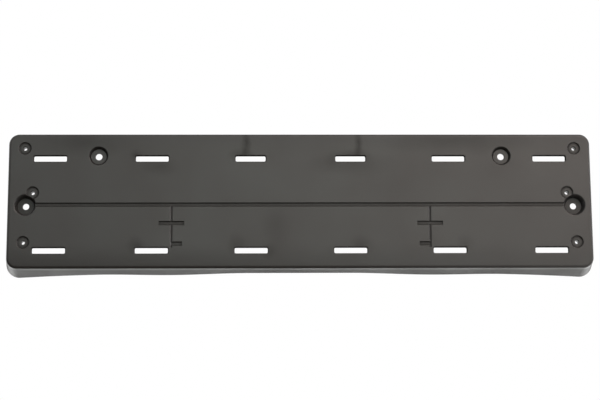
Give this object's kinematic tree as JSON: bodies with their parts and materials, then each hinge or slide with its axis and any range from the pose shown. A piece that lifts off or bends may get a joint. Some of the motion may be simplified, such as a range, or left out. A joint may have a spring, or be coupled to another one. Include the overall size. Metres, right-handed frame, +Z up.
{
  "type": "number plate holder",
  "caption": "Flat moulded panel with slots, screw cups and pilot holes that carries a number plate on a bumper, with a skirt round its back.",
  "frame": {"origin": "centre of the flat front face, on which the number plate lies", "axes": "+X to the right of someone who looks at the face, +Y into the car, +Z up"},
  "size_m": [0.5286, 0.0323, 0.129],
  "materials": {
    "black_plastic": "moulded polypropylene, dyed through, with a fine matt grain and a soft sheen"
  },
  "bodies": {
    "root": {"plate_holder": "black_plastic"}
  },
  "joints": []
}
